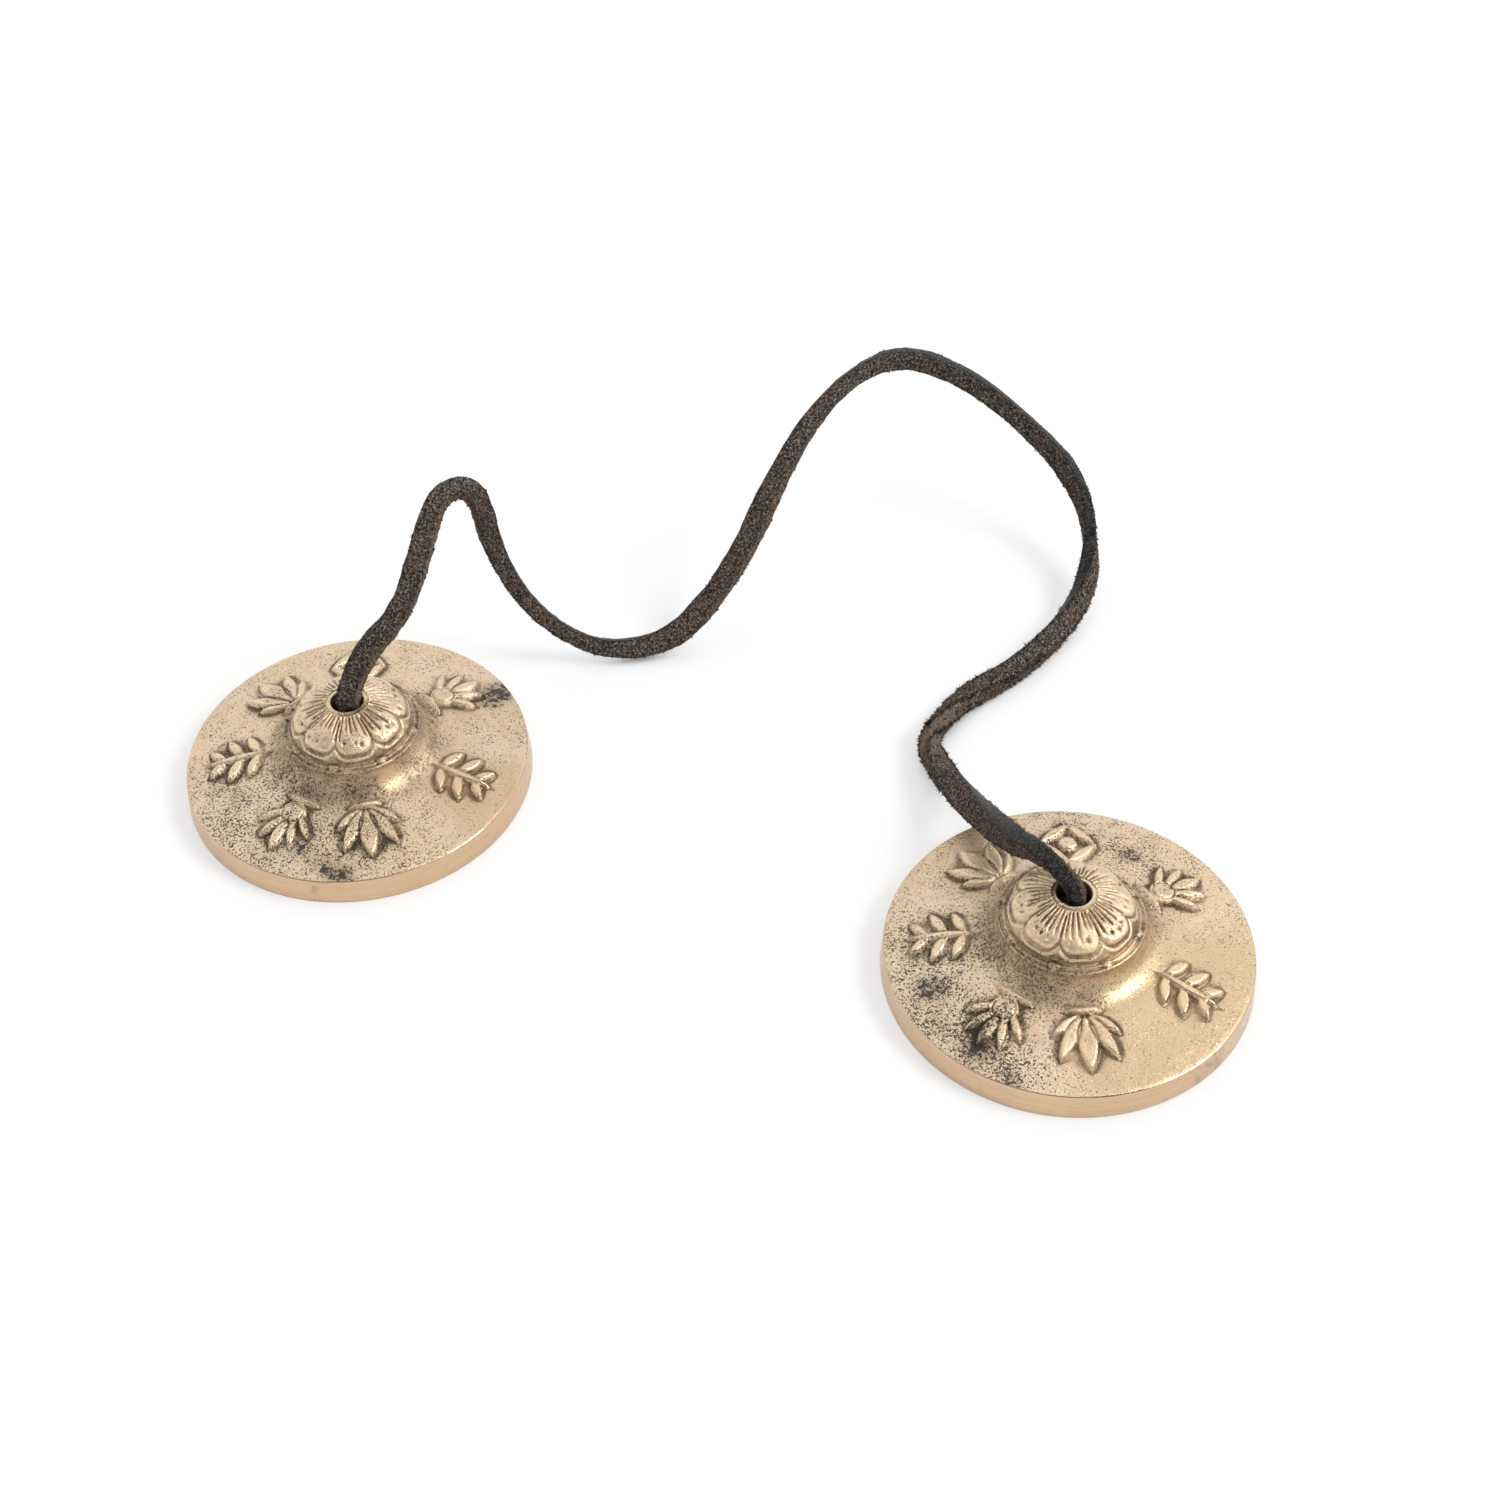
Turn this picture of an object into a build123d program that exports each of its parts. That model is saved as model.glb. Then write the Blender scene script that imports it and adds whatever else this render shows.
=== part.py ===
"""A pair of tingsha: two cast bronze cymbals joined by one flat leather thong."""

import os
from math import atan2, cos, degrees, radians, sin, sqrt, tan

from build123d import *

# Cymbal casting, millimetres
rim_diameter = 65.0
rim_height = 5.1
rim_draft = 0.45
rim_round = 0.3
foot_radius = 17.0
foot_height = 7.9
ledge_radius = 13.0
ledge_height = 13.4
ledge_fall = 0.4
ledge_edge = 0.7
collar_radius = 11.2
collar_height = 0.9
dome_radius = 16.6
dome_wall = 3.0
bore_diameter = 6.1
lip_round = 0.5
strike_face_width = 9.0
dish_height = 3.9

# Lotus petals on the dome
petal_count = 8
petal_reach = 10.3
petal_length = 7.8
petal_width = 6.7
petal_step = 0.9
groove_radius = 0.35
groove_start = 4.4
groove_end = 8.4
bud_radius = 1.0

# Raised ornaments on the face, by angle from the first one
ornament_angles = (0, 56, 117, 173, 217, 265, 319)
ornament_offset = 5.0
ornament_unit = 1.2
ornament_relief = 1.0
ornament_root = 1.2

# Where the two cymbals lie, and how far each casting is turned
cymbal_spacing = 140.08
left_turn = 303.5
right_turn = 293.5

# Leather thong: section, neck in the bore, knot and tail
strap_width = 4.6
strap_thickness = 3.4
strap_corner = 1.0
strap_lift = 0.3
neck_clearance = 0.6
strap_gap = 0.3
pivot_rise = 2.6
knot_radius = 4.9
knot_gap = 0.3
wrap_sink = 1.2
wrap_section = 1.75
wrap_lean = 25
tail_length = 7.8
tail_dip = 24
left_tail_turn = 200
right_tail_turn = 320
strap_width_way = (0.92, 0.38, 0)
bend_share = 0.45

# The thong's route from the left hole to the right one, chosen by hand for one spacing of the cymbals;
# the heights are above the thong's middle line where it lies on the floor
route_spacing = 140.08
strap_route = (
    (-66.0, 4.0, 27.9),
    (-61.0, 9.0, 33.9),
    (-59.5, 14.5, 40.9),
    (-59.5, 20.0, 45.9),
    (-59.5, 25.5, 49.4),
    (-56.5, 31.0, 48.4),
    (-55.5, 34.0, 41.4),
    (-56.0, 36.0, 30.9),
    (-53.0, 38.0, 17.9),
    (-47.5, 41.0, 6.9),
    (-38.5, 44.5, 0.0),
    (-27.0, 51.0, 0.0),
    (-20.5, 59.0, 6.9),
    (-16.0, 68.0, 15.9),
    (-14.0, 77.0, 23.9),
    (-11.0, 89.5, 31.4),
    (-6.0, 101.5, 35.9),
    (2.0, 111.5, 36.4),
    (14.5, 116.0, 29.9),
    (26.5, 116.0, 21.9),
    (38.0, 113.0, 14.4),
    (45.0, 105.5, 7.4),
    (48.0, 94.0, 1.9),
    (46.0, 81.0, 0.0),
    (41.0, 67.0, 0.0),
    (33.5, 56.0, 0.0),
    (31.0, 47.5, 0.0),
    (30.5, 41.5, 0.0),
    (35.5, 34.5, 1.2),
    (45.0, 22.5, 6.9),
    (55.5, 10.5, 14.4),
    (62.5, 4.3, 20.2),
)

# Sizes that follow from the ones above
rim_radius = rim_diameter / 2
bore_radius = bore_diameter / 2
neck_radius = bore_radius - neck_clearance
wrap_radius = knot_radius - wrap_sink
base_radius = dome_radius - petal_step
collar_top_height = ledge_height + collar_height
dome_centre_height = collar_top_height - sqrt(base_radius**2 - collar_radius**2)
cavity_radius = dome_radius - dome_wall
petal_ring = petal_reach - petal_length / 2
ornament_ring = foot_radius + ornament_offset
face_slope = atan2(foot_height - rim_height, rim_radius - foot_radius)


def sphere_height(radius, reach):
    """Height, at a distance from the axis, of a sphere about the dome's centre."""
    return dome_centre_height + sqrt(radius**2 - reach**2)


mouth_height = sphere_height(dome_radius, bore_radius + lip_round)
roof_height = sphere_height(cavity_radius, bore_radius)
pivot_height = mouth_height + pivot_rise
knot_height = roof_height - sqrt((knot_radius + knot_gap) ** 2 - bore_radius**2)


def meridian(angle):
    """Upright plane through the axis: X runs outward at this angle, Y runs up from the dome's centre."""
    turn = radians(angle)
    return Plane(
        origin=(0, 0, dome_centre_height),
        x_dir=(cos(turn), sin(turn), 0),
        z_dir=(sin(turn), -cos(turn), 0),
    )


def face_plane(angle):
    """Plane under the sloping face, at an ornament's root: Y runs outward along the face."""
    turn = radians(angle)
    out = Vector(cos(turn), sin(turn), 0)
    height = rim_height + (rim_radius - ornament_ring) * tan(face_slope)
    on_face = out * ornament_ring + Vector(0, 0, height)
    normal = out * sin(face_slope) + Vector(0, 0, cos(face_slope))
    return Plane(
        origin=on_face - normal * ornament_root,
        x_dir=(sin(turn), -cos(turn), 0),
        z_dir=normal,
    )


def leaf(base, tip, width):
    """Pointed leaf between two points of the sketch, with two round sides."""
    start = Vector(*base) * ornament_unit
    end = Vector(*tip) * ornament_unit
    side = (end - start).normalized().rotate(Axis.Z, 90) * (ornament_unit * width / 2)
    with BuildLine() as outline:
        ThreePointArc(start, (start + end) / 2 + side, end)
        ThreePointArc(end, (start + end) / 2 - side, start)
    make_face(outline.edges())


def leaf_pair(base, tip, width):
    """A leaf and its mirror image across the ornament's middle line."""
    for side in (1, -1):
        leaf((side * base[0], base[1]), (side * tip[0], tip[1]), width)


def dot(place, radius):
    """Round boss of an ornament."""
    with Locations(Vector(*place) * ornament_unit):
        Circle(radius * ornament_unit)


def lotus():
    """Open lotus over a low seat."""
    leaf((0, -3.6), (0, 5.0), 3.0)
    leaf_pair((0.5, -3.6), (4.2, 3.2), 2.2)
    leaf_pair((0.8, -3.7), (4.8, -0.8), 1.6)
    leaf((-2.8, -4.5), (2.8, -4.5), 1.3)


def sprig():
    """Upright stem with three pairs of leaves."""
    leaf((0, -5.0), (0, 5.2), 1.5)
    leaf_pair((0, -3.4), (4.2, -1.4), 1.8)
    leaf_pair((0, -0.6), (4.4, 1.8), 1.8)
    leaf_pair((0, 2.0), (2.8, 4.8), 1.5)


def jewel():
    """Round jewel on a seat, under five flames."""
    dot((0, -1.6), 2.1)
    leaf((0, -0.4), (0, 5.2), 2.0)
    leaf_pair((0.8, -0.8), (2.9, 4.0), 1.5)
    leaf_pair((1.2, -1.8), (4.7, 1.4), 1.4)
    leaf((-3.0, -4.3), (3.0, -4.3), 1.5)


def lozenge():
    """Lozenge of four leaves round a boss."""
    leaf_pair((-0.4, -4.9), (4.3, 0.2), 1.7)
    leaf_pair((4.3, -0.2), (-0.4, 4.9), 1.7)
    dot((0, 0), 1.5)


ornaments = (lotus, sprig, jewel, lozenge)

# Petals: eight rounded tongues cut from a spherical cap
with BuildPart() as petals:
    with BuildSketch(Plane.XY.offset(ledge_height)):
        with PolarLocations(petal_ring, petal_count):
            Ellipse(petal_length / 2, petal_width / 2)
    extrude(amount=dome_radius)
    with BuildSketch(Plane.XZ):
        with Locations((0, dome_centre_height)):
            Circle(dome_radius)
            Circle(cavity_radius, mode=Mode.SUBTRACT)
            Rectangle(dome_radius, 2 * dome_radius, align=(Align.MAX, Align.CENTER), mode=Mode.SUBTRACT)
    revolve(axis=Axis.Z, mode=Mode.INTERSECT)

# Casting, with its axis on Z and its striking face on the floor
with BuildPart() as casting:
    with BuildSketch(Plane.XZ) as section:
        with BuildLine():
            collar_top = (collar_radius, collar_top_height)
            ledge_outer = (ledge_radius, ledge_height - ledge_fall)
            flank_top = (ledge_radius, ledge_height - ledge_fall - ledge_edge)
            foot = (foot_radius, foot_height)
            rim_top = (rim_radius, rim_height)
            rim_foot = (rim_radius + rim_draft, 0)
            strike_inner = (rim_radius + rim_draft - strike_face_width, 0)
            dish_top = (sqrt(cavity_radius**2 - (dish_height - dome_centre_height) ** 2), dish_height)
            top = (0, sphere_height(base_radius, 0))
            roof = (0, sphere_height(cavity_radius, 0))
            RadiusArc(top, collar_top, base_radius)
            Polyline(collar_top, (collar_radius, ledge_height), ledge_outer, flank_top)
            TangentArc(foot, flank_top, tangent=(-cos(face_slope), sin(face_slope)))
            Polyline(foot, rim_top, rim_foot, strike_inner, dish_top)
            RadiusArc(dish_top, roof, -cavity_radius)
            Line(roof, top)
        make_face()
        rim_corners = section.vertices().sort_by(SortBy.DISTANCE)[-2:]
        fillet(rim_corners, radius=rim_round)
    revolve(axis=Axis.Z)
    add(petals.part)
    for number in range(petal_count):
        between = 360 / petal_count * (number + 0.5)
        low = degrees(atan2(sqrt(dome_radius**2 - groove_end**2), groove_end))
        high = degrees(atan2(sqrt(dome_radius**2 - groove_start**2), groove_start))
        with BuildLine(meridian(between)) as crease:
            CenterArc((0, 0), dome_radius, low, high - low)
        with BuildSketch(Plane(origin=crease.line @ 0, z_dir=crease.line % 0)):
            Circle(groove_radius)
        sweep(path=crease.line, mode=Mode.SUBTRACT)
    with PolarLocations(collar_radius, petal_count, start_angle=180 / petal_count):
        with Locations((0, 0, ledge_height)):
            Sphere(bud_radius)
    for number, angle in enumerate(ornament_angles):
        with BuildSketch(face_plane(angle)):
            ornaments[number % len(ornaments)]()
        extrude(amount=ornament_root + ornament_relief)
    with BuildSketch(Plane.XZ):
        with BuildLine():
            lip_low = (bore_radius, mouth_height - lip_round)
            lip_high = (bore_radius + lip_round, mouth_height)
            above = mouth_height + dome_wall
            RadiusArc(lip_low, lip_high, lip_round)
            lip_above = (bore_radius + lip_round, above)
            bore_low = (bore_radius, dish_height)
            Polyline(lip_high, lip_above, (0, above), (0, dish_height), bore_low, lip_low)
        make_face()
    revolve(axis=Axis.Z, mode=Mode.SUBTRACT)


def placed(side, turn):
    """Where a casting lies: its axis at half the spacing to this side, turned about it."""
    return Location((side * cymbal_spacing / 2, 0, 0), (0, 0, turn))


with BuildPart() as left_cymbal:
    add(casting.part.moved(placed(-1, left_turn)))

with BuildPart() as right_cymbal:
    add(casting.part.moved(placed(1, right_turn)))


left_pivot = Vector(-cymbal_spacing / 2, 0, pivot_height)
right_pivot = Vector(cymbal_spacing / 2, 0, pivot_height)


def knotted_end(pivot, toward):
    """Neck up the bore to a ball at the bend, and below it the knot with its tail turned toward an angle."""
    knot_centre = Vector(pivot.X, pivot.Y, knot_height)
    flat = radians(toward)
    dip = radians(tail_dip)
    tail_way = Vector(cos(dip) * cos(flat), cos(dip) * sin(flat), -sin(dip))
    with BuildSketch(Plane(origin=knot_centre)) as neck:
        Circle(neck_radius)
    extrude(neck.sketch, amount=pivot_height - knot_height)
    with Locations(pivot):
        Sphere(neck_radius)
    with Locations(knot_centre):
        Sphere(knot_radius)
        Torus(wrap_radius, wrap_section, rotation=(wrap_lean, 0, 0))
    across = Vector(-sin(flat), cos(flat), 0)
    with BuildSketch(Plane(origin=knot_centre, x_dir=across, z_dir=tail_way)) as tail:
        RectangleRounded(strap_width, strap_thickness, strap_corner)
    extrude(tail.sketch, amount=tail_length)


with BuildPart() as left_knot:
    knotted_end(left_pivot, left_tail_turn)

with BuildPart() as right_knot:
    knotted_end(right_pivot, right_tail_turn)


def strap_end(pivot, beside):
    """Where the free stretch stops short of the ball, on the way from the route's nearest point."""
    return pivot + (beside - pivot).normalized() * (neck_radius + strap_gap)


def bend_radius(before, corner, after):
    """Largest round bend that leaves a short straight on both runs."""
    coming = corner - before
    going = after - corner
    turn = radians(coming.get_angle(going))
    return bend_share * min(coming.length, going.length) / tan(turn / 2)


stretch = cymbal_spacing / route_spacing
lie_height = strap_width / 2 + strap_lift
route = [Vector(x * stretch, y, lie_height + rise) for x, y, rise in strap_route]
route.insert(0, strap_end(left_pivot, route[0]))
route.append(strap_end(right_pivot, route[-1]))
bends = [bend_radius(*route[number - 1 : number + 2]) for number in range(1, len(route) - 1)]

# Free stretch of the thong, in straight runs and round bends
with BuildPart() as strap:
    with BuildLine() as strap_line:
        FilletPolyline(*route, radius=bends)
    start_plane = Plane(origin=route[0], x_dir=strap_width_way, z_dir=route[1] - route[0])
    with BuildSketch(start_plane) as strap_section:
        RectangleRounded(strap_width, strap_thickness, strap_corner)
    sweep(path=strap_line.line)

strap_length = sum(edge.length for edge in strap_line.edges())
swept_volume = strap_section.sketch.area * strap_length
print("bend radii", [round(radius, 1) for radius in bends])
print("strap length", round(strap_length, 1))
print("strap volume", round(strap.part.volume, 1), "section times length", round(swept_volume, 1))
print("mouth", round(mouth_height, 2), "pivot", round(pivot_height, 2), "knot", round(knot_height, 2))

left_cymbal.part.label = "left_cymbal"
right_cymbal.part.label = "right_cymbal"
left_knot.part.label = "left_knot"
right_knot.part.label = "right_knot"
strap.part.label = "strap"

os.makedirs("parts", exist_ok=True)
export_step(left_cymbal.part, "parts/left_cymbal.step")
export_step(right_cymbal.part, "parts/right_cymbal.step")
export_step(left_knot.part, "parts/left_knot.step")
export_step(right_knot.part, "parts/right_knot.step")
export_step(strap.part, "parts/strap.step")
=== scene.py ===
"""Tingsha: two cast bronze cymbals with lotus domes, joined by one leather thong."""
import math

import bmesh
import bpy
import numpy as np
from mathutils import Matrix, Vector


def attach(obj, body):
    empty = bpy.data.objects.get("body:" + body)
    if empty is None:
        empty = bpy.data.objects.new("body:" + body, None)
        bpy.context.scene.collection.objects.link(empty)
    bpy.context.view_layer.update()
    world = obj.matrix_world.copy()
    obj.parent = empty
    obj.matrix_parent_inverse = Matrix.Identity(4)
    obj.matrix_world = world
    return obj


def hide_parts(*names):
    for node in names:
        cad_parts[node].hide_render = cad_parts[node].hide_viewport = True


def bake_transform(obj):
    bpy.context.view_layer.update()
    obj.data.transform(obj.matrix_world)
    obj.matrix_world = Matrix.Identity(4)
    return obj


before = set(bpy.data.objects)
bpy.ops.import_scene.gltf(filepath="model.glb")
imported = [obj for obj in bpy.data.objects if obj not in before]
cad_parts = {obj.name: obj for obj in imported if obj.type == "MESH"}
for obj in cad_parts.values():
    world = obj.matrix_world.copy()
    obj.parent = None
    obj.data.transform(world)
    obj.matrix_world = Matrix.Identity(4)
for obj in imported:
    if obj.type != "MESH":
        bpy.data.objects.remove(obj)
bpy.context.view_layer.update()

MM = 0.001
SEED = 11

# Camera, fitted to the two rims
IMAGE_PX = 1500
FOCAL_PX = 2376.46
SENSOR_MM = 36.0
PITCH = 0.7953
ROLL = -0.0354
DISTANCE = 0.4594
CLIP_START = 0.01
YAW = math.radians(22.46)
LOOK_AT = Vector((-0.001766, 0.030870, 0.0))


def camera_axes():
    """Right, up and forward of the camera in the row frame."""
    turn = Matrix.Rotation(YAW, 3, "Z")
    flat_right = Vector((1, 0, 0))
    forward = Vector((0, math.cos(PITCH), -math.sin(PITCH)))
    flat_up = flat_right.cross(forward)
    right = math.cos(ROLL) * flat_right + math.sin(ROLL) * flat_up
    up = -math.sin(ROLL) * flat_right + math.cos(ROLL) * flat_up
    return turn @ right, turn @ up, turn @ forward


CAM_RIGHT, CAM_UP, CAM_FORWARD = camera_axes()
CAM_PLACE = LOOK_AT - CAM_FORWARD * DISTANCE

scene = bpy.context.scene
scene.view_settings.view_transform = "Standard"
camera_data = bpy.data.cameras.new("camera")
camera_data.sensor_width = SENSOR_MM
camera_data.lens = FOCAL_PX / IMAGE_PX * SENSOR_MM
camera_data.clip_start = CLIP_START
camera = bpy.data.objects.new("camera", camera_data)
axes = Matrix((CAM_RIGHT, CAM_UP, -CAM_FORWARD)).transposed().to_4x4()
camera.matrix_world = Matrix.Translation(CAM_PLACE) @ axes
scene.collection.objects.link(camera)
scene.camera = camera


def new_object(name, verts, faces, smooth=True):
    """Mesh object from arrays in metres."""
    mesh = bpy.data.meshes.new(name)
    mesh.from_pydata(np.asarray(verts).tolist(), [], [tuple(face) for face in faces])
    mesh.validate()
    if smooth:
        mesh.shade_smooth()
    obj = bpy.data.objects.new(name, mesh)
    scene.collection.objects.link(obj)
    return obj


def put_attribute(obj, name, values):
    """One number for each vertex, read by the materials."""
    layer = obj.data.attributes.new(name, "FLOAT", "POINT")
    layer.data.foreach_set("value", np.ascontiguousarray(values, dtype=np.float32).ravel())


def outward(obj):
    """Turns all faces of a closed mesh outward."""
    work = bmesh.new()
    work.from_mesh(obj.data)
    bmesh.ops.recalc_face_normals(work, faces=work.faces)
    work.to_mesh(obj.data)
    work.free()


def smoothstep(low, high, value):
    share = np.clip((value - low) / (high - low), 0.0, 1.0)
    return share * share * (3 - 2 * share)


def bell(distance, width):
    return np.exp(-((distance / width) ** 2))


def unit(rows):
    return rows / np.linalg.norm(rows, axis=1, keepdims=True)


def run_along(line):
    """Distance gone at each point of a line."""
    return np.concatenate([[0], np.cumsum(np.linalg.norm(np.diff(line, axis=0), axis=1))])


# Cymbal casting, millimetres, the same sizes as the solids
RIM_RADIUS = 32.5
RIM_HEIGHT = 5.1
RIM_DRAFT = 0.45
RIM_ROUND = 0.3
FOOT_RADIUS = 17.0
FOOT_HEIGHT = 7.9
LEDGE_RADIUS = 13.0
LEDGE_HEIGHT = 13.4
LEDGE_FALL = 0.4
LEDGE_EDGE = 0.7
COLLAR_RADIUS = 11.2
COLLAR_TOP = 14.3
DOME_RADIUS = 16.6
PETAL_STEP = 0.9
BASE_RADIUS = DOME_RADIUS - PETAL_STEP
CAVITY_RADIUS = 13.6
DOME_CENTRE = COLLAR_TOP - math.sqrt(BASE_RADIUS**2 - COLLAR_RADIUS**2)
BORE_RADIUS = 3.05
LIP_ROUND = 0.5
LIP_SOFT = 0.25
STRIKE_INNER = 23.95
DISH_HEIGHT = 3.9
PETALS = 8
PETAL_CENTRE = 6.4
PETAL_HALF_LENGTH = 3.9
PETAL_HALF_WIDTH = 3.4
PETAL_POWER = 3.0
PETAL_RAISE = 0.3
ORNAMENT_ANGLES = (0, 56, 117, 173, 217, 265, 319)
ORNAMENT_RING = 22.0
ORNAMENT_UNIT = 1.2
SHOULDER = 0.5
FUSE = 0.14
SPACING = 140.08
LEFT_TURN = 303.5
RIGHT_TURN = 293.5
# Rings of the meshes, and points round each
AROUND = 640
AROUND_UNDER = 160
DOME_RINGS = 38
LEDGE_RINGS = 14
FLANK_RINGS = 12
FACE_RINGS = 52
FACE_EDGE = 28.7
EDGE_RINGS = 7
# Relief, millimetres and degrees
ORNAMENT_HEIGHT = 1.0
OUTLINE_DEPTH = 0.12
CUT_DEPTH = 0.4
CUT_WIDTH = 0.17
PETAL_SWELL = 0.14
CREASE_DEPTH = 0.5
CREASE_WIDTH = 0.2
FLUTES = (-16.5, -8.5, -0.5, 7.5, 15.5)
FLUTE_DEPTH = 0.4
FLUTE_END = 8.4
PITS = (-9.5, 0.5, 10)
PIT_RING = 8.75
PIT_SIZE = 0.34
SCALLOP_GAP = 0.55
SCALLOP_WIDTH = 0.15
SCALLOP_HEIGHT = 0.25
# Ridges on the ledge: radius, height, width and waviness
LEDGE_RIDGES = ((11.75, 0.26, 0.14, 0.06), (12.72, 0.28, 0.15, 0.0))
BUD_RING = 11.6
BUD_RADIUS = 1.05
BUD_HEIGHT = 0.42
SKIN_WAVE = 9.0
SKIN_HEIGHT = 0.035
HOLLOW_WAVE = 5.0
HOLLOW_HEIGHT = 0.07
# How deep a recess counts as dark, and shares of dirt and painted shade round the ornaments, on the ledge
# and on the flank
RECESS_DEPTH = 0.17
HALO_DEPTH = 0.35
HALO_DARKENING = 0.4
FOOT_DIRT_AND_SHADE = 0.75
LEDGE_DIRT = 0.6
# Dirt and painted shade round the flank: radius, width and share. The narrow band just under the ledge's
# edge is painted shade.
FLANK_DIRT_AND_SHADE = ((15.0, 2.2, 1.0), (13.3, 0.9, 0.5))
POLISH_FULL = 0.35
POLISH_CLEANS = 0.8
UNDER_SPECKLE = 0.2
FACE_SLOPE = math.atan2(FOOT_HEIGHT - RIM_HEIGHT, RIM_RADIUS - FOOT_RADIUS)


def sphere_height(radius, reach):
    return DOME_CENTRE + np.sqrt(radius**2 - np.asarray(reach) ** 2)


MOUTH = float(sphere_height(DOME_RADIUS, BORE_RADIUS + LIP_ROUND))
ROOF = float(sphere_height(CAVITY_RADIUS, BORE_RADIUS))


def flank_points(count):
    """Concave flank: an arc tangent to the face at its foot and ending at the ledge's edge."""
    start = np.array([FOOT_RADIUS, FOOT_HEIGHT])
    end = np.array([LEDGE_RADIUS, LEDGE_HEIGHT - LEDGE_FALL - LEDGE_EDGE])
    normal = np.array([math.sin(FACE_SLOPE), math.cos(FACE_SLOPE)])
    chord = end - start
    radius = chord @ chord / (2 * (chord @ normal))
    centre = start + normal * radius
    first = math.atan2(*(start - centre)[::-1])
    last = math.atan2(*(end - centre)[::-1])
    if last > first:
        last -= 2 * math.pi
    angles = np.linspace(last, first, count)
    return [(centre[0] + radius * math.cos(a), centre[1] + radius * math.sin(a)) for a in angles]


def top_profile():
    """Points of the section from the bore's lower end, over the dome and face, to the foot of the rim."""
    points = [(BORE_RADIUS, z) for z in np.linspace(ROOF, MOUTH - LIP_SOFT, 5)[:-1]]
    for angle in np.linspace(0, math.pi / 2, 5):
        out = BORE_RADIUS + LIP_SOFT * (1 - math.cos(angle))
        points.append((out, MOUTH - LIP_SOFT * (1 - math.sin(angle))))
    for r in np.linspace(BORE_RADIUS + LIP_ROUND, COLLAR_RADIUS - 0.04, DOME_RINGS):
        points.append((r, float(sphere_height(BASE_RADIUS, r))))
    points += [(COLLAR_RADIUS, z) for z in np.linspace(COLLAR_TOP - 0.1, LEDGE_HEIGHT + 0.1, 3)]
    for r in np.linspace(COLLAR_RADIUS + 0.05, LEDGE_RADIUS - 0.06, LEDGE_RINGS):
        fall = LEDGE_FALL * (r - COLLAR_RADIUS) / (LEDGE_RADIUS - COLLAR_RADIUS)
        points.append((r, LEDGE_HEIGHT - fall))
    edge_top = LEDGE_HEIGHT - LEDGE_FALL
    points += [(LEDGE_RADIUS, z) for z in (edge_top - 0.08, edge_top - 0.35)]
    points += flank_points(FLANK_RINGS)[:-1]
    face = np.linspace(FOOT_RADIUS, FACE_EDGE, FACE_RINGS)
    edge = np.linspace(FACE_EDGE + 0.5, RIM_RADIUS - 0.33, EDGE_RINGS)
    for r in np.concatenate([face, edge]):
        points.append((r, RIM_HEIGHT + (RIM_RADIUS - r) * math.tan(FACE_SLOPE)))
    for angle in np.linspace(0.3, 1.45, 4):
        out = RIM_RADIUS - RIM_ROUND * (1 - math.sin(angle))
        points.append((out, RIM_HEIGHT - RIM_ROUND * (1 - math.cos(angle)) + 0.02))
    for share in (0.12, 0.4, 0.7, 0.93):
        points.append((RIM_RADIUS + RIM_DRAFT * share, RIM_HEIGHT * (1 - share)))
    points.append((RIM_RADIUS + RIM_DRAFT - 0.08, 0.09))
    points.append((RIM_RADIUS + RIM_DRAFT - 0.3, 0.0))
    return np.array(points)


def under_profile():
    """Points of the section below: striking ring, shallow dish and hollow dome, up to the bore."""
    points = [(r, 0.0) for r in np.linspace(RIM_RADIUS + RIM_DRAFT - 0.9, STRIKE_INNER, 8)]
    reach = math.sqrt(CAVITY_RADIUS**2 - (DISH_HEIGHT - DOME_CENTRE) ** 2)
    for share in np.linspace(0, 1, 9)[1:]:
        points.append((STRIKE_INNER + (reach - STRIKE_INNER) * share, DISH_HEIGHT * share))
    low = math.asin((DISH_HEIGHT - DOME_CENTRE) / CAVITY_RADIUS)
    high = math.acos((BORE_RADIUS + 0.25) / CAVITY_RADIUS)
    for angle in np.linspace(low, high, 15)[1:]:
        points.append((CAVITY_RADIUS * math.cos(angle), DOME_CENTRE + CAVITY_RADIUS * math.sin(angle)))
    return np.array(points)


def leaf(base, tip, width):
    """Signed distance to a pointed leaf with two round sides."""
    a = np.array(base, float)
    b = np.array(tip, float)
    half = np.linalg.norm(b - a) / 2
    sag = width / 2
    radius = (half**2 + sag**2) / (2 * sag)
    middle = (a + b) / 2
    side = np.array([-(b - a)[1], (b - a)[0]]) / (2 * half) * (radius - sag)

    def distance(x, y):
        first = np.hypot(x - middle[0] - side[0], y - middle[1] - side[1])
        second = np.hypot(x - middle[0] + side[0], y - middle[1] + side[1])
        return np.maximum(first, second) - radius

    return distance


def pair(base, tip, width):
    mirrored = leaf((-base[0], base[1]), (-tip[0], tip[1]), width)
    return [leaf(base, tip, width), mirrored]


def dot(place, radius):
    return lambda x, y: np.hypot(x - place[0], y - place[1]) - radius


ORNAMENTS = (
    [leaf((0, -3.6), (0, 5.0), 3.0), *pair((0.5, -3.6), (4.2, 3.2), 2.2),
     *pair((0.8, -3.7), (4.8, -0.8), 1.6), leaf((-2.8, -4.5), (2.8, -4.5), 1.3)],
    [leaf((0, -5.0), (0, 5.2), 1.5), *pair((0, -3.4), (4.2, -1.4), 1.8),
     *pair((0, -0.6), (4.4, 1.8), 1.8), *pair((0, 2.0), (2.8, 4.8), 1.5)],
    [dot((0, -1.6), 2.1), leaf((0, -0.4), (0, 5.2), 2.0), *pair((0.8, -0.8), (2.9, 4.0), 1.5),
     *pair((1.2, -1.8), (4.7, 1.4), 1.4), leaf((-3.0, -4.3), (3.0, -4.3), 1.5)],
    [*pair((-0.4, -4.9), (4.3, 0.2), 1.7), *pair((4.3, -0.2), (-0.4, 4.9), 1.7), dot((0, 0), 1.5)],
)
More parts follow.
